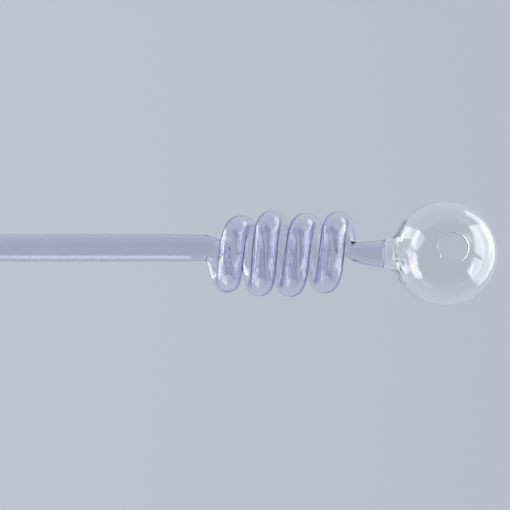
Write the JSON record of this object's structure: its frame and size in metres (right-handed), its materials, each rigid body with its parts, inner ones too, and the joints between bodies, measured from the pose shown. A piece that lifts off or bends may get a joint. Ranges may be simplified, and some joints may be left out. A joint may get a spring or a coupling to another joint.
{
  "type": "coiled glass pipe",
  "caption": "Blown-glass pipe: a straight tinted stem tube wound into a left-handed coil, a short pinched neck, and a clear round bulb with a round vent.",
  "frame": {"origin": "centre of the open mouth of the stem, where its straight bore begins", "axes": "+X along the stem towards the bulb, +Z out through the bulb's vent"},
  "size_m": [0.1805, 0.0308, 0.0311],
  "materials": {
    "tinted_glass": "gloss",
    "clear_glass": "gloss"
  },
  "bodies": {
    "root": {"mouth_rim": "tinted_glass", "stem_tube": "tinted_glass", "stem_bend": "tinted_glass", "coil_front_1": "tinted_glass", "coil_back_1": "tinted_glass", "coil_front_2": "tinted_glass", "coil_back_2": "tinted_glass", "coil_front_3": "tinted_glass", "coil_back_3": "tinted_glass", "coil_front_4": "tinted_glass", "exit_bend": "tinted_glass", "neck_bend": "tinted_glass", "neck_tube": "tinted_glass", "bulb_collar": "clear_glass", "bulb": "clear_glass", "vent_lip": "clear_glass"}
  },
  "joints": []
}
